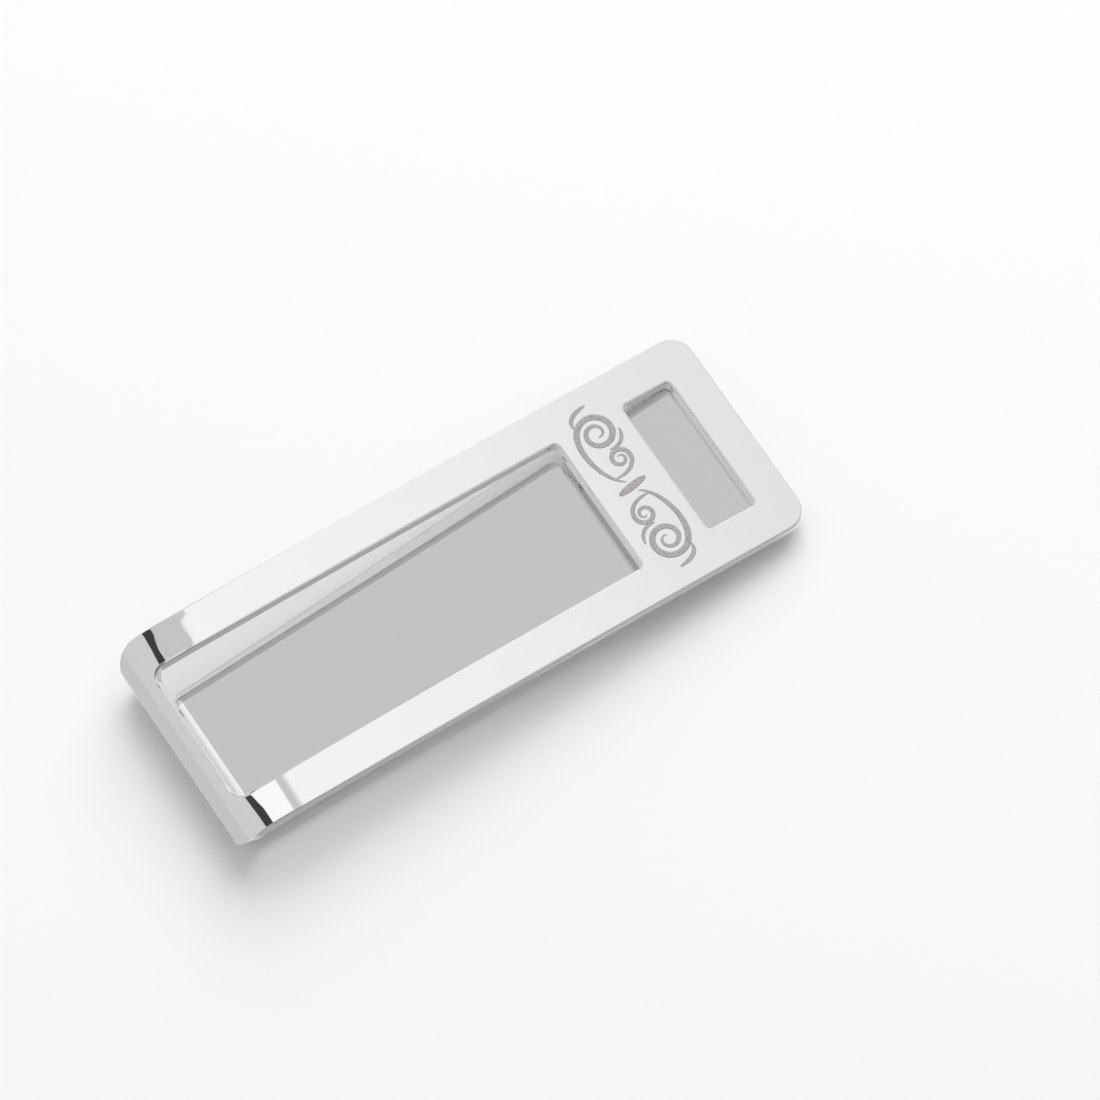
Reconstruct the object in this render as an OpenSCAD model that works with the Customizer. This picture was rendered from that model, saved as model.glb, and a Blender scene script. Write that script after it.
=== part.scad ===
// Money clip: one springy strip of polished steel folded into a flat U.
// The back leg is plain, and the front leg is a frame with two windows.
// +X runs from the fold to the tips, +Y across the strip, +Z out of the front.
// The origin is at the middle of the footprint, on the back leg's outer face.
// The strip narrows round the fold, so that the back leg hides under the front.
// The strip is drawn in four lengths that meet face to face, so that the
// front half can swing open about the crown of the fold.

/* [Strip] */
// Width of the strip along the front leg
strip_w = 24.2; // [22:0.1:28]
// Width of the strip along the back leg
back_w = 20.8; // [18:0.1:22]
// Thickness of the strip
strip_t = 1.3; // [1:0.1:1.5]

/* [Clip] */
// Overall length from the fold to the tips
clip_len = 67; // [62:0.5:72]
// Outside radius of the fold
fold_r = 3.75; // [3.5:0.05:4.5]
// Radius of the slight bow along the front leg
bow_r = 1200; // [900:50:2000]
// Gap between the front tip and the back leg with the clip closed
tip_gap = 0.1; // [0.05:0.05:0.3]
// Radius of the corners at the two tips
tip_corner_r = 2.5; // [1:0.1:4]

/* [Windows] */
// Width of the two side arms beside the windows
arm_w = 4.2; // [3:0.1:6]
// Length of the bar between the small window and the tip
end_bar = 4.1; // [3:0.1:6]
// Length of the small window
small_window = 5.5; // [4.5:0.1:8]
// Length of the bridge between the two windows
bridge = 8; // [6:0.1:10]
// Corner radius of the small window, and of the large one next to the bridge
window_corner_r = 0.6; // [0.4:0.1:2]
// Corner radius of the large window at the fold
fold_corner_r = 1.2; // [0.8:0.1:3]
// Angle that the large window reaches round the fold
window_wrap = 27; // [15:1:35]

/* [Hidden] */

// Gap between the two halves of the fold, at its crown
crown_gap = 0.04;
// Reach of the tools that cut right through the strip
reach = 20;
// Facets of a full turn: round details, and the long bow
$fn = 96;
bow_fn = 1440;

// Angles round the fold, from the back leg, between which the strip widens
taper_start = 60;
taper_end = 150;
taper_step = 10;

window_w = strip_w - 2 * arm_w;
fold_x = fold_r - clip_len / 2;
tip_x = clip_len / 2;

// The front leg's chord falls from the fold to the tip, and its bow adds half
// the turn at each end
leg_drop = 2 * fold_r - 2 * strip_t - tip_gap;
leg_run = tip_x - fold_x;
chord_slope = atan(leg_drop / leg_run);
half_bow = asin(leg_run / 2 / bow_r);
root_slope = chord_slope - half_bow;
root_x = fold_r * sin(root_slope);
root_z = fold_r * cos(root_slope);
leg_chord = (leg_run - root_x) / cos(chord_slope) - strip_t * tan(chord_slope) / 2;

// Stations along the front leg's chord, counted from its root
small_end = leg_chord - end_bar;
small_start = small_end - small_window;
large_end = small_start - bridge;

// Extrudes a side view, drawn in X and Z, across the strip
module across(width) {
    rotate([90, 0, 0])
        linear_extrude(height = width, center = true)
            children();
}

// Outline of a leg in plan, from x = start to x = end with two round corners
module leg_outline(width, start, end, r) {
    translate([start, -width / 2])
        square([end - r - start, width]);
    translate([end - 2 * r, r - width / 2])
        square([2 * r, width - 2 * r]);
    for (side = [-1, 1])
        translate([end - r, side * (width / 2 - r)])
            circle(r);
}

// Outline of a window in plan, with its own corner radius at each end
module window_outline(start, end, start_r, end_r) {
    translate([start, start_r - window_w / 2])
        square([start_r, window_w - 2 * start_r]);
    translate([start + start_r, -window_w / 2])
        square([end - start - start_r - end_r, window_w]);
    translate([end - end_r, end_r - window_w / 2])
        square([end_r, window_w - 2 * end_r]);
    for (side = [-1, 1]) {
        translate([start + start_r, side * (window_w / 2 - start_r)])
            circle(start_r);
        translate([end - end_r, side * (window_w / 2 - end_r)])
            circle(end_r);
    }
}

// Cuts straight through the strip with a plan outline
module through() {
    linear_extrude(height = reach, center = true)
        children();
}

// Places things at the centre of the fold's circle
module at_fold() {
    translate([fold_x, 0, fold_r])
        children();
}

// Places things in the front leg's own frame: +X along its chord from the
// root of its outer face, +Z out of that face
module at_front_leg() {
    at_fold()
        translate([root_x, 0, root_z])
            rotate([0, chord_slope, 0])
                children();
}

// The whole round of the fold as a ring
module fold_ring() {
    across(strip_w)
        difference() {
            circle(fold_r);
            circle(fold_r - strip_t);
        }
}

// Half width of the strip at an angle round the fold, eased at both ends
function taper_share(angle) =
    min(1, max(0, (angle - taper_start) / (taper_end - taper_start)));
function eased(share) = share * share * (3 - 2 * share);
function half_width(angle) =
    (back_w + (strip_w - back_w) * eased(taper_share(angle))) / 2;

// Cutter that keeps the fold between its tapered sides, over one quarter turn
module taper(from_angle, to_angle) {
    angles = [for (a = [from_angle : taper_step : to_angle]) a];
    side = [for (a = angles) [-fold_r * sin(a), half_width(a)]];
    crown = [-fold_r - 1, half_width(90)];
    leg = [reach, from_angle < 90 ? half_width(from_angle) : half_width(to_angle)];
    upper = from_angle < 90 ? concat([leg], side, [crown]) : concat([crown], side, [leg]);
    lower = [for (i = [len(upper) - 1 : -1 : 0]) [upper[i][0], -upper[i][1]]];
    through()
        polygon(concat(upper, lower));
}

// Space beyond the radial plane where the front leg begins, long enough to
// hold the whole leg
module beyond_root() {
    rotate([0, root_slope, 0])
        translate([0, -reach, -reach])
            cube([2 * clip_len, 2 * reach, 2 * reach]);
}

// Cutter for the end of the large window, square to the fold's surface there
module window_round_fold() {
    rotate([0, -window_wrap, 0])
        through()
            window_outline(0, reach / 2, fold_corner_r, fold_corner_r);
}

// Plain back leg that lies flat
module back_leg() {
    color("silver")
        linear_extrude(height = strip_t)
            leg_outline(back_w, fold_x, tip_x, tip_corner_r);
}

// Back half of the fold, from the back leg up to the crown
module fold_back() {
    color("gainsboro")
        at_fold()
            intersection() {
                fold_ring();
                taper(0, 90);
                translate([-reach, -reach, -reach - crown_gap / 2])
                    cube([reach, 2 * reach, reach]);
            }
}

// Front half of the fold, from the crown to the root of the front leg
module fold_front() {
    color("gainsboro")
        at_fold()
            difference() {
                intersection() {
                    fold_ring();
                    taper(90, 180);
                }
                translate([-reach, -reach, -2 * reach + crown_gap / 2])
                    cube([2 * reach, 2 * reach, 2 * reach]);
                beyond_root();
                window_round_fold();
            }
}

// Bowed sheet of the front leg, trimmed to its outline
module front_shell() {
    intersection() {
        translate([leg_chord / 2, 0, -bow_r * cos(half_bow)])
            across(strip_w)
                difference() {
                    circle(bow_r, $fn = bow_fn);
                    circle(bow_r - strip_t, $fn = bow_fn);
                }
        through()
            leg_outline(strip_w, -1, leg_chord, tip_corner_r);
    }
}

// Front leg: side arms, bridge and end bar round the two windows
module front_frame() {
    color("silver")
        intersection() {
            at_front_leg()
                difference() {
                    front_shell();
                    through()
                        window_outline(-reach / 2, large_end, window_corner_r, window_corner_r);
                    through()
                        window_outline(small_start, small_end, window_corner_r, window_corner_r);
                }
            at_fold()
                beyond_root();
        }
}

back_leg();
fold_back();
fold_front();
front_frame();
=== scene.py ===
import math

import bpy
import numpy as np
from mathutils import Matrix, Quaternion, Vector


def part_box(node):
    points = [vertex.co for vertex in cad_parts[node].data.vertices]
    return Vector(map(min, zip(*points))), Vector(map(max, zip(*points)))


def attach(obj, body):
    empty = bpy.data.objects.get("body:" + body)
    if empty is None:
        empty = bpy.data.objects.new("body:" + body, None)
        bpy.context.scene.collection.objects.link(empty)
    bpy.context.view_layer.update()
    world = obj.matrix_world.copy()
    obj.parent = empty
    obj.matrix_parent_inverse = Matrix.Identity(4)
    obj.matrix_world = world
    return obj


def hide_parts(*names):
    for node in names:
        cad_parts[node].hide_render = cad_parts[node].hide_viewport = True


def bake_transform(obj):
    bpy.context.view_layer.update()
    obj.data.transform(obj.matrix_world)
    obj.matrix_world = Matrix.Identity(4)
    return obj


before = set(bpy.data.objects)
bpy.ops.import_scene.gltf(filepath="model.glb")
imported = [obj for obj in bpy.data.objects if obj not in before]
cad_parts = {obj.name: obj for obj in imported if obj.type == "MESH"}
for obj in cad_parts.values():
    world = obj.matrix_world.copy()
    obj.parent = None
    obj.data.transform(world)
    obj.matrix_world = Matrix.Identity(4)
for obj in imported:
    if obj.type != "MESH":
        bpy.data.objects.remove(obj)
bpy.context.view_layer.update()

# Money clip: one strip of mirror-polished steel, folded into a flat U.
#
# The strip is worked out on its own developed surface.  s is the length along
# its outer face, 0 where the back leg meets the fold, growing round the fold
# and out to the front tip.  y runs across the strip, as in the row frame.
# depth is counted from the outer face, and is negative inside the metal.
# Lengths are in metres and angles in radians.

MM = 0.001

# ---------------------------------------------------------------- sizes

back_low, back_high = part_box("back_leg")
fold_low, fold_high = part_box("fold_front")
front_low, front_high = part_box("front_frame")

STRIP_T = back_high.z - back_low.z
STRIP_W = front_high.y - front_low.y
BACK_W = back_high.y - back_low.y
FOLD_R = fold_high.z / 2
FOLD_X = back_low.x
TIP_X = back_high.x

BOW_R = 1200 * MM
TIP_GAP = 0.1 * MM
TIP_CORNER = 2.5 * MM
ARM_W = 4.2 * MM
END_BAR = 4.1 * MM
SMALL_WINDOW = 5.5 * MM
BRIDGE = 8 * MM
WINDOW_CORNER = 0.6 * MM
FOLD_CORNER = 1.2 * MM
WINDOW_WRAP = math.radians(27)

# The front leg's chord falls to the closed tips, and its bow turns it evenly
LEG_RUN = TIP_X - FOLD_X
CHORD_SLOPE = math.atan((2 * FOLD_R - 2 * STRIP_T - TIP_GAP) / LEG_RUN)
ROOT_SLOPE = CHORD_SLOPE - math.asin(LEG_RUN / 2 / BOW_R)
LEG_LENGTH = (LEG_RUN - FOLD_R * math.sin(ROOT_SLOPE)) / math.cos(CHORD_SLOPE) \
    - STRIP_T * math.tan(CHORD_SLOPE) / 2

# Stations along the strip
S_ROOT = FOLD_R * (math.pi + ROOT_SLOPE)
S_TIP = S_ROOT + LEG_LENGTH
S_WINDOW = S_ROOT - FOLD_R * (WINDOW_WRAP + ROOT_SLOPE)
S_SMALL_END = S_TIP - END_BAR
S_SMALL_START = S_SMALL_END - SMALL_WINDOW
S_LARGE_END = S_SMALL_START - BRIDGE
S_BRIDGE = (S_LARGE_END + S_SMALL_START) / 2
HALF_WINDOW = STRIP_W / 2 - ARM_W

# Where the visible pieces meet: on the flat back leg, and on the side arms
S_BACK_SEAM = -2 * MM
S_ARM_SEAM = S_ROOT + 16 * MM

# Where the fold's plain sheet ends and the surround of its window begins, and
# where the fine stations beside that window end
S_FOLD_SHEET = S_WINDOW - 1.8 * MM
S_FINE_END = S_ROOT + 5 * MM

# The strip widens from the back leg to the front between these stations
S_TAPER = FOLD_R * math.radians(60)
S_FULL = FOLD_R * math.radians(150)

# Softened edges: how far each one reaches over the face, and down the side
OUTER_REACH = 0.22 * MM
OUTER_DROP = 0.22 * MM
WINDOW_REACH = 0.32 * MM
WINDOW_DROP = 0.26 * MM
INNER_DROP = 0.2 * MM

# The bend eases in and out over this half width, is a little shorter than the
# arc it replaces and turns a little further, and leaves a faint shoulder at the
# root of the front leg
EASE = 1.6 * MM
BEND_TRIM = 0.1 * MM
BEND_GAIN = 0.003
SHOULDER = 3.6 * MM
SHOULDER_TURN = 0.03

# Points round a softened edge and down its straight wall, along the end and
# the side of a window, on each side of a window corner's aim, and round a
# corner of the back tip
EDGE_POINTS = 11
WALL_POINTS = 4
END_POINTS = 15
SIDE_POINTS = 7
CORNER_POINTS = 10
TIP_POINTS = 14

# Rows from a window to the strip's limits, and columns of the back leg
LEG_ROWS = 9
FOLD_ROWS = 12
BACK_COLUMNS = 25

# Spacing of the stations along the back leg, round the fold, beside the fine
# and the coarse part of its window, and along the front leg
BACK_STEP = 1.5 * MM
FOLD_STEP = 0.18 * MM
FINE_STEP = 0.22 * MM
COARSE_STEP = 0.8 * MM
LEG_STEP = 1.2 * MM

# Step of the path's table, the distance within which points are welded, the
# number of times that a ray's end is found again on the tapered edge, and the
# number below which a length or a slope counts as nothing
PATH_STEP = 0.02 * MM
WELD = 0.0005 * MM
CAST_ROUNDS = 12
TINY = 1e-9


# ---------------------------------------------------------------- the strip

def eased_path():
    """Table of the strip's side view. Curvature is 0 along the back leg, even
    round the fold, slight over the shoulder and 1/BOW_R along the front leg.
    It is averaged over a raised-cosine window of width 2*EASE and summed twice
    along s, and the fold's crown is put at the frame's end."""
    step = PATH_STEP
    s = np.arange(-LEG_RUN - MM, S_TIP + 2 * step, step)
    bend = (math.pi + ROOT_SLOPE + BEND_GAIN - SHOULDER_TURN) / (S_ROOT - 2 * BEND_TRIM)
    curve = np.where(s < BEND_TRIM, 0, np.where(s < S_ROOT - BEND_TRIM, bend, 1 / BOW_R))
    curve += np.where((s > S_ROOT) & (s < S_ROOT + SHOULDER), SHOULDER_TURN / SHOULDER, 0)
    reach = np.arange(-EASE, EASE + step / 2, step)
    weight = 1 + np.cos(math.pi * reach / EASE)
    padded = np.pad(curve, len(reach) // 2, mode="edge")
    curve = np.convolve(padded, weight / weight.sum(), mode="valid")
    turn = np.concatenate([[0], np.cumsum((curve[1:] + curve[:-1]) / 2 * step)])
    dx, dz = -np.cos(turn), np.sin(turn)
    x = np.concatenate([[0], np.cumsum((dx[1:] + dx[:-1]) / 2 * step)])
    z = np.concatenate([[0], np.cumsum((dz[1:] + dz[:-1]) / 2 * step)])
    return s, turn, x + fold_low.x - x.min(), z


PATH_S, PATH_TURN, PATH_X, PATH_Z = eased_path()

# The back leg lies flat, so x falls by as much as s grows along it
S_BACK_TIP = float(np.interp(0, PATH_S, PATH_X)) - TIP_X


def half_width(s):
    """Half width of the strip at each s, and its slope: a smoothstep from the
    back leg's to the front leg's."""
    share = np.clip((s - S_TAPER) / (S_FULL - S_TAPER), 0, 1)
    gain = (STRIP_W - BACK_W) / 2
    slope = gain * 6 * share * (1 - share) / (S_FULL - S_TAPER)
    return BACK_W / 2 + gain * share ** 2 * (3 - 2 * share), slope


def side_normals(s, sign):
    """Outward plan normals of the strip's long edges at each s."""
    slope = half_width(s)[1]
    normal = np.stack([-slope, np.broadcast_to(sign, np.shape(slope))], -1)
    return normal / np.linalg.norm(normal, axis=-1, keepdims=True)


def sheet_limit(s):
    """Half width of the flat sheet at each s, inside the softened edges."""
    return half_width(s)[0] - OUTER_REACH


def strip_axes(s):
    """Outer face's point at y = 0, tangent and outward normal for each s,
    read from the path's table."""
    turn = np.interp(s, PATH_S, PATH_TURN)
    zero = np.zeros_like(turn)
    point = np.stack([np.interp(s, PATH_S, PATH_X), zero, np.interp(s, PATH_S, PATH_Z)], -1)
    tangent = np.stack([-np.cos(turn), zero, np.sin(turn)], -1)
    normal = np.stack([-np.sin(turn), zero, -np.cos(turn)], -1)
    return point, tangent, normal


def on_strip(plan, depth, side, up):
    """Places plan points (s, y) at a depth on the bent strip, and turns their
    local normal: side is its part in the plan, up its part out of the face."""
    point, tangent, normal = strip_axes(plan[..., 0])
    across = np.array([0.0, 1.0, 0.0])
    place = point + plan[..., 1:2] * across + depth[..., None] * normal
    facing = side[..., 0:1] * tangent + side[..., 1:2] * across + up[..., None] * normal
    return place, facing / np.linalg.norm(facing, axis=-1, keepdims=True)


class Skin:
    """Collects grids of points with their normals, and makes one closed mesh."""

    def __init__(self):
        self.places, self.facings, self.quads, self.count = [], [], [], 0

    def grid(self, place, facing):
        """Adds a rows x columns grid; each cell is a quad wound to face along
        its corners' normals."""
        rows, columns = place.shape[:2]
        index = np.arange(rows * columns).reshape(rows, columns) + self.count
        corners = [index[:-1, :-1], index[1:, :-1], index[1:, 1:], index[:-1, 1:]]
        quads = np.stack(corners, -1).reshape(-1, 4)
        flat, turned = place.reshape(-1, 3), facing.reshape(-1, 3)
        corner = flat[quads - self.count]
        area = np.cross(corner[:, 2] - corner[:, 0], corner[:, 3] - corner[:, 1])
        wrong = (area * turned[quads - self.count].sum(1)).sum(1) < 0
        quads[wrong] = quads[wrong][:, ::-1]
        self.places.append(flat)
        self.facings.append(turned)
        self.quads.append(quads)
        self.count += rows * columns

    def sheet(self, plan):
        """Adds the outer and the inner face over a grid of plan points."""
        none = np.zeros_like(plan)
        for depth, up in ((0.0, 1.0), (-STRIP_T, -1.0)):
            full = np.full(plan.shape[:2], 1.0)
            self.grid(*on_strip(plan, depth * full, none, up * full))

    def rim(self, plan, out, reach, drop):
        """Adds an edge along plan points that lie `reach` inside it, with
        outward plan normals `out`. Its section is a quarter ellipse, reach by
        drop, at the outer face, a straight wall, and a lower quarter ellipse
        at the inner face. The sizes may vary along the edge."""
        reach = np.broadcast_to(reach, len(plan))[:, None]
        drop = np.broadcast_to(drop, len(plan))[:, None]
        turn = np.linspace(0, math.pi / 2, EDGE_POINTS)[None, :]
        sine, cosine, one = np.sin(turn), np.cos(turn), np.ones((1, WALL_POINTS - 2))
        over = reach * np.concatenate([sine, one, sine[:, ::-1]], 1)
        low = STRIP_T - INNER_DROP
        wall = drop + (low - drop) * np.linspace(0, 1, WALL_POINTS)[None, 1:-1]
        bottom = STRIP_T - INNER_DROP * (1 - cosine[:, ::-1]) + np.zeros_like(reach)
        down = np.concatenate([drop * (1 - cosine), wall, bottom], 1)
        none = np.zeros_like(reach)
        side = np.concatenate([drop * sine, none + one, none + INNER_DROP * sine[:, ::-1]], 1)
        up = np.concatenate([reach * cosine, none * one, -reach * cosine[:, ::-1]], 1)
        rows = plan[:, None, :] + out[:, None, :] * over[:, :, None]
        self.grid(*on_strip(rows, -down, out[:, None, :] * side[:, :, None], up))

    def end_cap(self, s, y_low, y_high, low_edge, high_edge, shares, toward):
        """Closes the strip where it is cut square across at s, with straight
        columns from its outer section line to its inner one. The edges are
        (reach, drop) pairs, the shares are the sheet's own points from 0 to 1
        across its flat part, and toward is +1 or -1 along s."""
        turn = np.linspace(0, math.pi / 2, EDGE_POINTS)
        sides = []
        for y, sign, (reach, drop) in ((y_low, 1, low_edge), (y_high, -1, high_edge)):
            over = reach * (1 - np.sin(turn))
            top = -drop * (1 - np.cos(turn))
            bottom = -STRIP_T + INNER_DROP * (1 - np.cos(turn))
            sides.append(np.stack([y + sign * over, top, bottom], -1))
        low, high = sides[0][::-1], sides[1]
        inside = shares[1:-1, None]
        column = np.concatenate([low, low[-1] * (1 - inside) + high[0] * inside, high])
        share = np.linspace(0, 1, WALL_POINTS)
        y = np.repeat(column[:, 0:1], len(share), 1)
        depth = column[:, 1:2] * (1 - share) + column[:, 2:3] * share
        plan = np.stack([np.full_like(y, s), y], -1)
        side = np.zeros_like(plan)
        side[..., 0] = toward
        self.grid(*on_strip(plan, depth, side, np.zeros_like(y)))

    def piece(self, name, material):
        """Welds the grids where they meet and makes the object, with the
        worked-out normals on every corner. A quad that welds down to three
        corners becomes a triangle, and one with fewer is left out."""
        place = np.concatenate(self.places)
        facing = np.concatenate(self.facings)
        quads = np.concatenate(self.quads)
        rounded = np.round(place / WELD).astype(np.int64)
        _, first, welded = np.unique(rounded, axis=0, return_index=True, return_inverse=True)
        corners = welded.reshape(-1)[quads]
        faces, normals = [], []
        for quad, corner in zip(quads.tolist(), corners.tolist()):
            keep = [k for k in range(4) if corner[k] != corner[k - 1]]
            if len(keep) > 2:
                faces.append([corner[k] for k in keep])
                normals.extend(facing[quad[k]].tolist() for k in keep)
        mesh = bpy.data.meshes.new(name)
        mesh.from_pydata(place[first].tolist(), [], faces)
        mesh.shade_smooth()
        mesh.normals_split_custom_set(normals)
        mesh.materials.append(material)
        obj = bpy.data.objects.new(name, mesh)
        bpy.context.scene.collection.objects.link(obj)
        return obj


# ---------------------------------------------------------------- plan shapes

def side_line(start, end, shares, out):
    """Points of a straight window side, at the given shares of its length,
    with one outward normal."""
    share = np.asarray(shares)[:, None]
    plan = np.array(start) * (1 - share) + np.array(end) * share
    return plan, np.repeat(np.array([out], float), len(share), 0)


def corner_arc(centre, radius, angles):
    """Points of a window corner, and their normals towards its centre."""
    ray = np.stack([np.cos(angles), np.sin(angles)], -1)
    return np.array(centre) + radius * ray, -ray


def corner_angles(centre, target, quadrant):
    """Angles through one quadrant, evenly on each side of the ray from the
    centre to the target, which then has a point of its own."""
    low = quadrant * math.pi / 2
    aim = math.atan2(target[1] - centre[1], target[0] - centre[0]) % (2 * math.pi)
    before = np.linspace(low, aim, CORNER_POINTS)
    after = np.linspace(aim, low + math.pi / 2, CORNER_POINTS)
    return np.concatenate([before, after[1:]])


def cast(plan, out, s_low, s_high, tip_round):
    """Follows each window point's ray into the metal, to the nearer of two
    limits: the station s_low or s_high, and the strip's edge less its reach,
    whose half width is read again at each hit until it settles. With
    tip_round the two far corners are arcs, met where the ray crosses their
    circle. Returns the points, the edge normals there, and which of them lie
    on a real edge of the strip."""
    ray = -out
    hit = plan
    for _ in range(CAST_ROUNDS):
        half = sheet_limit(np.clip(hit[:, 0], s_low, s_high))
        limit = np.where(ray[:, 0] > 0, s_high, s_low)
        with np.errstate(divide="ignore", invalid="ignore"):
            to_s = np.where(np.abs(ray[:, 0]) > TINY, (limit - plan[:, 0]) / ray[:, 0], np.inf)
            to_y = np.where(np.abs(ray[:, 1]) > TINY,
                            (np.sign(ray[:, 1]) * half - plan[:, 1]) / ray[:, 1], np.inf)
        hit = plan + ray * np.minimum(to_s, to_y)[:, None]
    normal = side_normals(hit[:, 0], np.where(hit[:, 1] < 0, -1, 1))
    on_edge = to_y <= to_s + TINY
    if tip_round:
        radius = TIP_CORNER - OUTER_REACH
        centre_s, centre_y = s_high - radius, STRIP_W / 2 - OUTER_REACH - radius
        at_tip = (np.abs(hit[:, 0] - s_high) < TINY) & ~on_edge
        normal[at_tip] = (1, 0)
        on_edge |= at_tip
        centre = np.stack([np.full(len(hit), centre_s), np.sign(hit[:, 1]) * centre_y], -1)
        round_corner = (hit[:, 0] > centre_s) & (np.abs(hit[:, 1]) > centre_y)
        gap = plan - centre
        along = (gap * ray).sum(1)
        reach = -along + np.sqrt(np.maximum(along ** 2 - (gap ** 2).sum(1) + radius ** 2, 0))
        arc_hit = plan + ray * reach[:, None]
        hit[round_corner] = arc_hit[round_corner]
        normal[round_corner] = ((arc_hit - centre) / radius)[round_corner]
    return hit, normal, on_edge


def window_surround(skin, plan, out, s_low, s_high, rows, tip_round=False):
    """Adds the sheet between a stretch of window edge and the limits around
    it, as even rows from one to the other, with the window's softened edge
    and the strip's own. Returns the points on the limits."""
    inner = plan - out * WINDOW_REACH
    outer, normal, on_edge = cast(plan, out, s_low, s_high, tip_round)
    share = np.linspace(0, 1, rows)[None, :, None]
    skin.sheet(inner[:, None, :] * (1 - share) + outer[:, None, :] * share)
    skin.rim(inner, out, WINDOW_REACH, WINDOW_DROP)
    breaks = np.flatnonzero(np.diff(on_edge.astype(int))) + 1
    for run in np.split(np.arange(len(on_edge)), breaks):
        if on_edge[run[0]] and len(run) > 1:
            skin.rim(outer[run], normal[run], OUTER_REACH, OUTER_DROP)
    return outer


def plain_sheet(skin, stations, half_widths, shares):
    """Adds a stretch of strip with no window: stations along s, each with its
    own half width, and shares from -1 to 1 that multiply it."""
    y = np.asarray(half_widths)[:, None] * np.asarray(shares)[None, :]
    plan = np.stack([np.repeat(np.asarray(stations)[:, None], y.shape[1], 1), y], -1)
    skin.sheet(plan)
    return plan


# ---------------------------------------------------------------- the pieces

def spaced(start, end, step):
    """Even stations from start to end, about a step apart."""
    return np.linspace(start, end, max(2, int(round(abs(end - start) / step)) + 1))


def window_corner(s_side, y_side, s_sign, radius, s_limit, quadrant):
    """One corner arc of a window, aimed at the far corner of its surround."""
    centre = (s_side - s_sign * radius, y_side * (HALF_WINDOW - radius))
    target = (s_limit, y_side * float(sheet_limit(s_limit)))
    return corner_arc(centre, radius, corner_angles(centre, target, quadrant))


def joined(parts):
    """Puts stretches of one edge end to end, without their shared points."""
    plan = [parts[0][0]] + [p[0][1:] for p in parts[1:]]
    out = [parts[0][1]] + [p[1][1:] for p in parts[1:]]
    return np.concatenate(plan), np.concatenate(out)


def end_side(s, sign, radius):
    """The straight end of a window, from its low corner to its high one in
    the sense that goes anticlockwise round it."""
    y = HALF_WINDOW - radius
    return side_line((s, -sign * y), (s, sign * y), np.linspace(0, 1, END_POINTS), (-sign, 0))


def polished_front_leg(material):
    """Front leg from the seam on its arms to the tip: the far part of the
    large window, the bridge, the small window and the end bar."""
    skin = Skin()
    r = WINDOW_CORNER
    half = HALF_WINDOW
    far = S_LARGE_END - r
    arm = (spaced(S_ARM_SEAM, far, LEG_STEP) - S_ARM_SEAM) / (far - S_ARM_SEAM)
    large = joined([
        side_line((S_ARM_SEAM, -half), (far, -half), arm, (0, 1)),
        window_corner(S_LARGE_END, -1, 1, r, S_BRIDGE, 3),
        end_side(S_LARGE_END, 1, r),
        window_corner(S_LARGE_END, 1, 1, r, S_BRIDGE, 0),
        side_line((far, half), (S_ARM_SEAM, half), (1 - arm)[::-1], (0, -1)),
    ])
    window_surround(skin, *large, S_ARM_SEAM, S_BRIDGE, LEG_ROWS)
    tip = S_TIP - OUTER_REACH
    near, far = S_SMALL_START + r, S_SMALL_END - r
    sides = np.linspace(0, 1, SIDE_POINTS)
    small = joined([
        end_side(S_SMALL_END, 1, r),
        window_corner(S_SMALL_END, 1, 1, r, tip, 0),
        side_line((far, half), (near, half), sides, (0, -1)),
        window_corner(S_SMALL_START, 1, -1, r, S_BRIDGE, 1),
        end_side(S_SMALL_START, -1, r),
        window_corner(S_SMALL_START, -1, -1, r, S_BRIDGE, 2),
        side_line((near, -half), (far, -half), sides, (0, 1)),
        window_corner(S_SMALL_END, -1, 1, r, tip, 3),
    ])
    window_surround(skin, *small, S_BRIDGE, tip, LEG_ROWS, tip_round=True)
    for side in (-1, 1):
        arm_cap(skin, side, LEG_ROWS, -1)
    return skin.piece("polished_front_leg", material)


def arm_cap(skin, side, rows, toward):
    """Closes one side arm where it is cut at the seam."""
    outer, window = (OUTER_REACH, OUTER_DROP), (WINDOW_REACH, WINDOW_DROP)
    shares = np.linspace(0, 1, rows)
    if side > 0:
        skin.end_cap(S_ARM_SEAM, HALF_WINDOW, STRIP_W / 2, window, outer, shares, toward)
    else:
        skin.end_cap(S_ARM_SEAM, -STRIP_W / 2, -HALF_WINDOW, outer, window, shares, toward)


def back_cap(skin, shares, toward):
    """Closes the back leg where it is cut at the seam. The shares run from -1
    to 1 across the flat sheet."""
    edge = (OUTER_REACH, OUTER_DROP)
    skin.end_cap(S_BACK_SEAM, -BACK_W / 2, BACK_W / 2, edge, edge, (shares + 1) / 2, toward)


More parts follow.
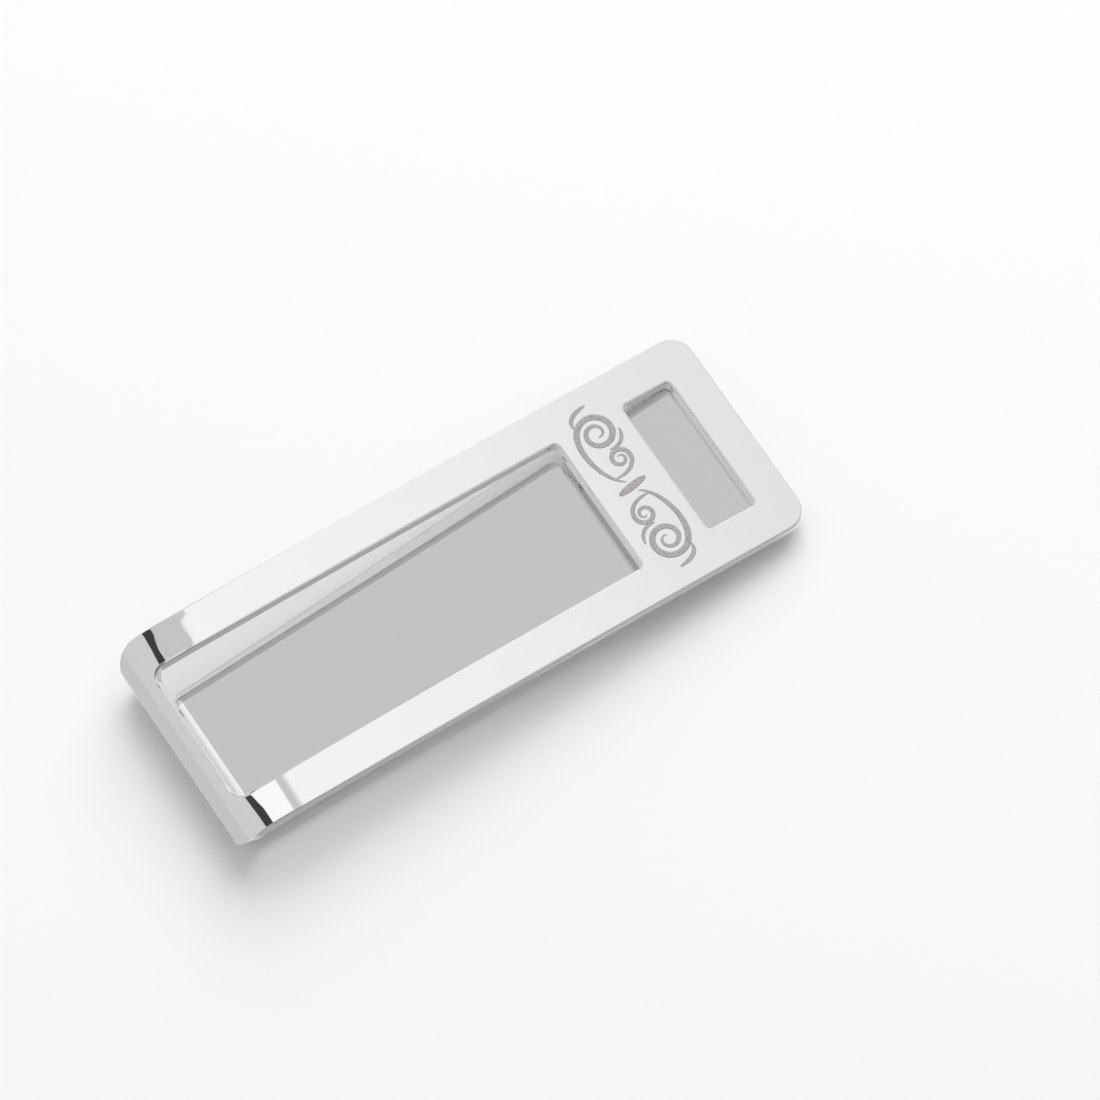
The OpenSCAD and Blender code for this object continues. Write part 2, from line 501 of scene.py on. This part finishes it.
def polished_fold(material):
    """The fold, from the seam on the back leg to the seam on the side arms:
    a plain sheet as far as S_FOLD_SHEET, then the surround of the window."""
    skin = Skin()
    r = FOLD_CORNER
    half = HALF_WINDOW
    near = S_WINDOW + r
    fine = spaced(near, S_FINE_END, FINE_STEP)
    coarse = spaced(S_FINE_END, S_ARM_SEAM, COARSE_STEP)
    arm = (np.concatenate([fine, coarse[1:]]) - near) / (S_ARM_SEAM - near)
    large = joined([
        side_line((S_ARM_SEAM, half), (near, half), (1 - arm)[::-1], (0, -1)),
        window_corner(S_WINDOW, 1, -1, r, S_FOLD_SHEET, 1),
        end_side(S_WINDOW, -1, r),
        window_corner(S_WINDOW, -1, -1, r, S_FOLD_SHEET, 2),
        side_line((near, -half), (S_ARM_SEAM, -half), arm, (0, 1)),
    ])
    outer = window_surround(skin, *large, S_FOLD_SHEET, S_ARM_SEAM, FOLD_ROWS)
    meeting = outer[np.abs(outer[:, 0] - S_FOLD_SHEET) < TINY]
    shares = np.sort(meeting[:, 1]) / sheet_limit(S_FOLD_SHEET)
    around = spaced(S_BACK_SEAM, S_FOLD_SHEET, FOLD_STEP)
    plan = plain_sheet(skin, around, sheet_limit(around), shares)
    for column, sign in ((0, -1), (-1, 1)):
        skin.rim(plan[:, column], side_normals(around, sign), OUTER_REACH, OUTER_DROP)
    back_cap(skin, shares, -1)
    for side in (-1, 1):
        arm_cap(skin, side, FOLD_ROWS, 1)
    return skin.piece("polished_fold", material)


def polished_back_leg(material):
    """Plain back leg from its tip to its seam. Its half width follows a
    quarter circle at the tip and is even from there on."""
    skin = Skin()
    half = BACK_W / 2 - OUTER_REACH
    radius = TIP_CORNER - OUTER_REACH
    turn = np.linspace(0, math.pi / 2, TIP_POINTS)
    tip = S_BACK_TIP + OUTER_REACH
    corner_s = tip + radius - radius * np.cos(turn)
    corner_half = half - radius + radius * np.sin(turn)
    straight = spaced(tip + radius, S_BACK_SEAM, BACK_STEP)[1:]
    stations = np.concatenate([corner_s, straight])
    half_widths = np.concatenate([corner_half, np.full(len(straight), half)])
    shares = np.linspace(-1, 1, BACK_COLUMNS)
    plan = plain_sheet(skin, stations, half_widths, shares)
    normal_s = np.concatenate([-np.cos(turn), np.zeros(len(straight))])
    normal_y = np.concatenate([np.sin(turn), np.ones(len(straight))])
    for column, sign in ((0, -1), (-1, 1)):
        skin.rim(plan[:, column], np.stack([normal_s, sign * normal_y], -1), OUTER_REACH, OUTER_DROP)
    skin.rim(plan[0], np.tile([-1.0, 0.0], (len(shares), 1)), OUTER_REACH, OUTER_DROP)
    back_cap(skin, shares, 1)
    return skin.piece("polished_back_leg", material)


# The scroll on the bridge is drawn in mm: u runs along +y and v along the
# strip, from the bridge's middle. Its first stroke stands SCROLL_RISE proud of
# the face, each later one higher by a share of that, and their undersides lie
# SCROLL_SINK below the face.
SCROLL_SIZE = 1.16
SCROLL_RISE = 0.012 * MM
SCROLL_STAGGER = 0.12
SCROLL_SINK = 0.01 * MM

# Section of a stroke: shares of its half width, the share of its rise there,
# and the sideways and upward parts of its normal
STROKE_SHARE = np.array([-1, -0.93, -0.5, 0, 0.5, 0.93, 1])
STROKE_LIFT = np.array([0, 0.75, 0.95, 1, 0.95, 0.75, 0])
STROKE_LEAN = np.array([-1, -0.3, 0, 0, 0, 0.3, 1])
STROKE_UP = 1 - 0.9 * np.abs(STROKE_LEAN)
SWELL_POWER = 0.4


def curve_points(points, count=40):
    """Cubic Bezier curve through its four control points."""
    t = np.linspace(0, 1, count)[:, None]
    a, b, c, d = (np.array(p, float) for p in points)
    return a * (1 - t) ** 3 + 3 * b * t * (1 - t) ** 2 + 3 * c * t ** 2 * (1 - t) + d * t ** 3


def curl(centre, start, end, first, last, count=90):
    """Spiral about a centre, from the start angle to the end angle in
    degrees, whose radius runs evenly from the first to the last."""
    t = np.linspace(0, 1, count)
    angle = np.radians(start + (end - start) * t)
    radius = first + (last - first) * t
    return np.array(centre) + np.stack([radius * np.cos(angle), radius * np.sin(angle)], -1)


def half_scroll():
    """Strokes of one half of the ornament, as (points, greatest width)."""
    stem = np.concatenate([
        curve_points(((0.55, -0.15), (1.7, -2.3), (7.4, -2.9), (7.4, 0.1))),
        curl((5.75, 0.1), 0, 560, 1.65, 0.32)[1:],
    ])
    branch = np.concatenate([
        curve_points(((1.3, -1.05), (1.1, 0.1), (1.5, 1.5), (2.75, 1.5))),
        curl((2.75, 0.55), 90, -400, 0.95, 0.22)[1:],
    ])
    leaf = curve_points(((7.1, -1.35), (8.0, -1.5), (8.5, -0.6), (8.55, 0.7)))
    tail = curve_points(((3.9, 0.2), (3.7, 1.2), (4.2, 2.0), (5.3, 2.05)))
    return (stem, 0.68), (branch, 0.52), (leaf, 0.5), (tail, 0.42)


def ribbon(skin, points, width, rise):
    """Adds a closed flat ribbon along the points. Its width swells from
    nothing to the greatest and back as a sine raised to SWELL_POWER, and its
    section is a low dome over a flat underside, with two thin sides."""
    step = np.gradient(points, axis=0)
    step /= np.linalg.norm(step, axis=1, keepdims=True)
    across = np.stack([-step[:, 1], step[:, 0]], -1)
    run = np.concatenate([[0], np.cumsum(np.linalg.norm(np.diff(points, axis=0), axis=1))])
    swell = np.maximum(np.sin(math.pi * run / run[-1]), 0) ** SWELL_POWER * width / 2
    drawn = points[:, None, :] + across[:, None, :] * (swell[:, None] * STROKE_SHARE)[:, :, None]
    plan = np.stack([S_BRIDGE + drawn[..., 1] * MM, drawn[..., 0] * MM], -1)
    side = across[:, None, ::-1] * STROKE_LEAN[None, :, None] + np.zeros_like(plan)
    up = np.broadcast_to(STROKE_UP, plan.shape[:2])
    flat = np.ones(plan.shape[:2])
    skin.grid(*on_strip(plan, flat * STROKE_LIFT * rise, side, up))
    skin.grid(*on_strip(plan, -flat * SCROLL_SINK, np.zeros_like(plan), -flat))
    for column, sign in ((0, -1), (-1, 1)):
        edge = np.stack([plan[:, column], plan[:, column]], 1)
        depth = np.stack([flat[:, 0] * 0, -flat[:, 0] * SCROLL_SINK], 1)
        facing = sign * np.stack([across[:, ::-1], across[:, ::-1]], 1)
        skin.grid(*on_strip(edge, depth, facing, depth * 0))


def etched_scroll(material):
    """Scroll ornament on the bridge: a lens at its middle and two halves,
    each the other turned half round. Each stroke stands a little higher than
    the one before, so that none share a face where they cross."""
    skin = Skin()
    strokes = [(curve_points(((-0.25, -1.5), (-0.05, -0.5), (0.05, 0.5), (0.25, 1.5))), 0.85)]
    for points, width in half_scroll():
        strokes += [(points, width), (-points, width)]
    for index, (points, width) in enumerate(strokes):
        ribbon(skin, points * SCROLL_SIZE, width, SCROLL_RISE * (1 + SCROLL_STAGGER * index))
    return skin.piece("etched_scroll", material)


# ---------------------------------------------------------------- materials

# Grains in a metre of each pattern. The hairlines are drawn out along x.
HAZE_GRAIN = 160
HAIR_GRAIN = 5000
HAIR_STRETCH = 0.03
WAVE_GRAIN = 260
ETCH_GRAIN = 5200

# Roughness of the polish from clear to hazy, what a hairline adds to it, and
# the roughness of the etching
HAZE_ROUGHNESS = (0.022, 0.042)
HAIR_ROUGHNESS = (0, 0.05)
ETCH_ROUGHNESS = (0.45, 0.7)

# Height of the polish's waves and of the etching's pits
WAVE_HEIGHT = 0.006 * MM
PIT_HEIGHT = 0.01 * MM

STEEL_COLOUR = (0.9, 0.9, 0.9, 1)
ETCH_DARK = (0.3, 0.295, 0.29, 1)
ETCH_LIGHT = (0.5, 0.49, 0.48, 1)
FLOOR_COLOUR = (0.9, 0.9, 0.9, 1)


def shaded(name):
    """New material with its shader, and its node tree's nodes and links."""
    material = bpy.data.materials.new(name)
    material.use_nodes = True
    nodes, links = material.node_tree.nodes, material.node_tree.links
    return material, nodes["Principled BSDF"], nodes, links


def noise(nodes, links, place, scale, detail=2.0):
    """Noise on the Object coordinates, or on a mapped copy of them. The scale
    is about the number of its grains in a metre."""
    texture = nodes.new("ShaderNodeTexNoise")
    texture.inputs["Scale"].default_value = scale
    texture.inputs["Detail"].default_value = detail
    links.new(place, texture.inputs["Vector"])
    return texture.outputs["Fac"]


def spread(nodes, links, value, source, target):
    """Maps the source range of a value onto the target range."""
    node = nodes.new("ShaderNodeMapRange")
    for name, level in zip(("From Min", "From Max", "To Min", "To Max"), source + target):
        node.inputs[name].default_value = level
    links.new(value, node.inputs["Value"])
    return node.outputs["Result"]


def polished_steel():
    """Mirror-polished steel. Its roughness is a patchy haze plus hairlines
    that run along the strip, and its bump is the slight waviness that
    buffing leaves."""
    material, shader, nodes, links = shaded("polished_steel")
    shader.inputs["Base Color"].default_value = STEEL_COLOUR
    shader.inputs["Metallic"].default_value = 1
    place = nodes.new("ShaderNodeTexCoord").outputs["Object"]
    stretch = nodes.new("ShaderNodeMapping")
    stretch.inputs["Scale"].default_value = (HAIR_STRETCH, 1, 1)
    links.new(place, stretch.inputs["Vector"])
    patches = noise(nodes, links, place, HAZE_GRAIN, 4)
    haze = spread(nodes, links, patches, (0.3, 0.75), HAZE_ROUGHNESS)
    streaks = noise(nodes, links, stretch.outputs["Vector"], HAIR_GRAIN)
    hairs = spread(nodes, links, streaks, (0.62, 0.8), HAIR_ROUGHNESS)
    rough = nodes.new("ShaderNodeMath")
    links.new(haze, rough.inputs[0])
    links.new(hairs, rough.inputs[1])
    links.new(rough.outputs["Value"], shader.inputs["Roughness"])
    waves = nodes.new("ShaderNodeBump")
    waves.inputs["Distance"].default_value = WAVE_HEIGHT
    links.new(noise(nodes, links, place, WAVE_GRAIN, 1), waves.inputs["Height"])
    links.new(waves.outputs["Normal"], shader.inputs["Normal"])
    return material


def etched_steel():
    """Etched steel: matte grey, with a fine dark and light speckle in its
    colour and the same grain in its roughness and bump."""
    material, shader, nodes, links = shaded("etched_steel")
    shader.inputs["Metallic"].default_value = 0.2
    place = nodes.new("ShaderNodeTexCoord").outputs["Object"]
    grain = noise(nodes, links, place, ETCH_GRAIN, 3)
    colour = nodes.new("ShaderNodeValToRGB")
    low, high = colour.color_ramp.elements
    low.position, high.position = 0.3, 0.72
    low.color = ETCH_DARK
    high.color = ETCH_LIGHT
    links.new(grain, colour.inputs["Fac"])
    links.new(colour.outputs["Color"], shader.inputs["Base Color"])
    rough = spread(nodes, links, grain, (0.3, 0.7), ETCH_ROUGHNESS)
    links.new(rough, shader.inputs["Roughness"])
    pits = nodes.new("ShaderNodeBump")
    pits.inputs["Strength"].default_value = 0.4
    pits.inputs["Distance"].default_value = PIT_HEIGHT
    links.new(grain, pits.inputs["Height"])
    links.new(pits.outputs["Normal"], shader.inputs["Normal"])
    return material


# ---------------------------------------------------------------- the studio

# The camera looks down over the fold's near corner at a point on the front
# leg. Its lens and its sensor are in mm.
CAMERA_AZIMUTH = math.radians(-32.67)
CAMERA_HEIGHT = math.radians(67.62)
CAMERA_ROLL = math.radians(-0.34)
CAMERA_DISTANCE = 806.4 * MM
CAMERA_AIM = Vector((9.21, -1.32, 4.0)) * MM
LENS = 265.3
SENSOR_WIDTH = 36


def studio_camera():
    """Long lens from above the fold's near corner."""
    data = bpy.data.cameras.new("camera")
    data.lens = LENS
    data.sensor_width = SENSOR_WIDTH
    data.clip_start, data.clip_end = 0.01, 20
    camera = bpy.data.objects.new("camera", data)
    bpy.context.scene.collection.objects.link(camera)
    level = math.cos(CAMERA_HEIGHT)
    back = Vector((math.sin(CAMERA_AZIMUTH) * level, -math.cos(CAMERA_AZIMUTH) * level,
                   math.sin(CAMERA_HEIGHT)))
    camera.location = CAMERA_AIM + back * CAMERA_DISTANCE
    camera.rotation_mode = "QUATERNION"
    camera.rotation_quaternion = Quaternion(back, CAMERA_ROLL) @ back.to_track_quat("Z", "Y")
    bpy.context.scene.camera = camera


def softbox(name, direction, distance, side, watts):
    """Square area light that faces the origin from a direction."""
    data = bpy.data.lights.new(name, "AREA")
    data.shape = "RECTANGLE"
    data.size = data.size_y = side
    data.energy = watts
    light = bpy.data.objects.new(name, data)
    bpy.context.scene.collection.objects.link(light)
    away = Vector(direction).normalized()
    light.location = away * distance
    light.rotation_mode = "QUATERNION"
    light.rotation_quaternion = away.to_track_quat("Z", "Y")
    return light


def flat_mesh(name, corners):
    """One flat face through the corners."""
    mesh = bpy.data.meshes.new(name)
    mesh.from_pydata(corners, [], [tuple(range(len(corners)))])
    obj = bpy.data.objects.new(name, mesh)
    bpy.context.scene.collection.objects.link(obj)
    return obj


def reflector(name, outline, height, brightness):
    """Card held flat at a height, as polished metal is lit. Only a first
    reflection shows it, and it casts no shadow."""
    card = flat_mesh(name, [(x * MM, y * MM, height) for x, y in outline])
    material, unused, nodes, links = shaded(name)
    nodes.remove(unused)
    glow = nodes.new("ShaderNodeEmission")
    glow.inputs["Color"].default_value = (brightness, brightness, brightness, 1)
    clear = nodes.new("ShaderNodeBsdfTransparent")
    path = nodes.new("ShaderNodeLightPath")
    later = nodes.new("ShaderNodeMath")
    later.operation = "GREATER_THAN"
    later.inputs[1].default_value = FIRST_REFLECTION
    links.new(path.outputs["Ray Depth"], later.inputs[0])
    choice = nodes.new("ShaderNodeMixShader")
    links.new(later.outputs["Value"], choice.inputs["Fac"])
    links.new(glow.outputs["Emission"], choice.inputs[1])
    links.new(clear.outputs["BSDF"], choice.inputs[2])
    links.new(choice.outputs["Shader"], nodes["Material Output"].inputs["Surface"])
    card.data.materials.append(material)
    for kind in ("camera", "diffuse", "shadow", "transmission", "volume_scatter"):
        setattr(card, "visible_" + kind, False)


def ramp(tree, value, stops):
    """Brightness along one axis of the sky, from -1 to 1, through the stops."""
    along = spread(tree.nodes, tree.links, value, (-1, 1), (0, 1))
    colours = tree.nodes.new("ShaderNodeValToRGB")
    elements = colours.color_ramp.elements
    while len(elements) < len(stops):
        elements.new(0.5)
    for element, (place, level) in zip(elements, stops):
        element.position = (place + 1) / 2
        element.color = (level, level, level, 1)
    tree.links.new(along, colours.inputs["Fac"])
    return colours.outputs["Color"]


# Brightness of the sky along x and along y, as (direction, level) stops
ACROSS_SKY = ((-1, 0.66), (-0.4, 0.67), (0.1, 0.65), (0.16, 0.6), (0.2505, 0.61), (0.2515, 1.0),
              (0.334, 0.95), (0.41, 0.85), (0.6, 0.77), (1, 0.72))
ALONG_SKY = ((-1, 0.45), (-0.4, 0.72), (0, 0.9), (0.32, 1.0), (0.9, 1.0))

# Outlines, in mm, of the cards held over the fold: two black flags, a white
# card beside the near one and a grey card beside the far one
CARD_HEIGHT = 60 * MM
FAR_FLAG = ((-46, 25), (-22, 25), (-24.9, 27.2), (-24.9, 28.2), (-19.4, 30.4), (-19.4, 70),
            (-34.2, 70), (-34.2, 30.5), (-36.1, 28.9), (-41.3, 27.6))
NEAR_FLAG = ((-53, 11.4), (-49.6, 8.3), (-48.4, 6.2), (-48.4, -20), (-28, -20), (-28.5, 5.6),
             (-28.2, 7.2), (-34.2, 9.2))
WHITE_CARD = ((-53, 11.5), (-34.1, 9.3), (-28.1, 7.3), (-28.4, 5.6), (-27.9, -8), (-14.8, -8),
              (-13.5, 12), (-50, 12.2))
GREY_CARD = ((-12.3, 27.4), (-11.5, 28.3), (-11.8, 29.6), (-11.3, 30.7), (-10.2, 31.1),
             (-10, 33), (-17, 33), (-17, 27))

# Outlines, in mm, of the grey cards that lie just over the floor, beside the
# fold and beside the near edge. They are painted shade: only the metal's
# reflections show them, in place of the floor's shade there.
PAINTED_SHADE_HEIGHT = 0.5 * MM
FOLD_PAINTED_SHADE = ((-2900, -1500), (-34.5, -14), (-34.5, 14), (-2900, 1500))
SIDE_PAINTED_SHADE = ((-250, -400), (250, -400), (40, -13.5), (-33, -13.5))

# Name, outline, height and brightness of every card
CARDS = (
    ("far_flag", FAR_FLAG, CARD_HEIGHT, 0.05),
    ("near_flag", NEAR_FLAG, CARD_HEIGHT, 0.05),
    ("white_card", WHITE_CARD, CARD_HEIGHT, 1.05),
    ("grey_card", GREY_CARD, CARD_HEIGHT, 0.61),
    # Painted shade: grey cards that the metal mirrors in place of the shaded floor
    ("fold_painted_shade", FOLD_PAINTED_SHADE, PAINTED_SHADE_HEIGHT, 0.6),
    ("side_painted_shade", SIDE_PAINTED_SHADE, PAINTED_SHADE_HEIGHT, 0.42),
)

# The ray depth between a first reflection and the ones after it
FIRST_REFLECTION = 1.5

# Half the floor's side, the key light, and the bounces between the two legs
FLOOR_REACH = 3.0
KEY_DIRECTION = (0.5, 0.5, 0.75)
KEY_DISTANCE = 1.2
KEY_SIDE = 1.1
KEY_WATTS = 11.5
BOUNCES = 24


def studio_room():
    """Pale floor under a grey sky that is brighter towards the tips: its
    brightness is the product of a ramp along x and a ramp along y."""
    far = FLOOR_REACH
    floor = flat_mesh("floor", [(-far, -far, 0), (far, -far, 0), (far, far, 0), (-far, far, 0)])
    material, shader, _, _ = shaded("pale_floor")
    shader.inputs["Base Color"].default_value = FLOOR_COLOUR
    shader.inputs["Roughness"].default_value = 0.9
    floor.data.materials.append(material)

    world = bpy.data.worlds.new("room")
    bpy.context.scene.world = world
    world.use_nodes = True
    tree = world.node_tree
    place = tree.nodes.new("ShaderNodeTexCoord")
    axes = tree.nodes.new("ShaderNodeSeparateXYZ")
    tree.links.new(place.outputs["Generated"], axes.inputs["Vector"])
    both = tree.nodes.new("ShaderNodeMix")
    both.data_type = "RGBA"
    both.blend_type = "MULTIPLY"
    both.inputs["Factor"].default_value = 1
    tree.links.new(ramp(tree, axes.outputs["X"], ACROSS_SKY), both.inputs["A"])
    tree.links.new(ramp(tree, axes.outputs["Y"], ALONG_SKY), both.inputs["B"])
    tree.links.new(both.outputs["Result"], tree.nodes["Background"].inputs["Color"])


def studio_light():
    """Soft key light, which the metal doesn't mirror, the cards that it does,
    and plain view settings."""
    key = softbox("key", KEY_DIRECTION, KEY_DISTANCE, KEY_SIDE, KEY_WATTS)
    key.visible_glossy = False
    for card in CARDS:
        reflector(*card)
    scene = bpy.context.scene
    scene.view_settings.view_transform = "Standard"
    scene.cycles.max_bounces = BOUNCES
    scene.cycles.glossy_bounces = BOUNCES


steel = polished_steel()
front = polished_front_leg(steel)
fold = polished_fold(steel)
back = polished_back_leg(steel)
scroll = etched_scroll(etched_steel())

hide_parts("front_frame")
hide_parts("fold_back", "fold_front")
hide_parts("back_leg")
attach(front, "front_half")
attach(scroll, "front_half")
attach(back, "back_half")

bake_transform(fold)

studio_camera()
studio_room()
studio_light()
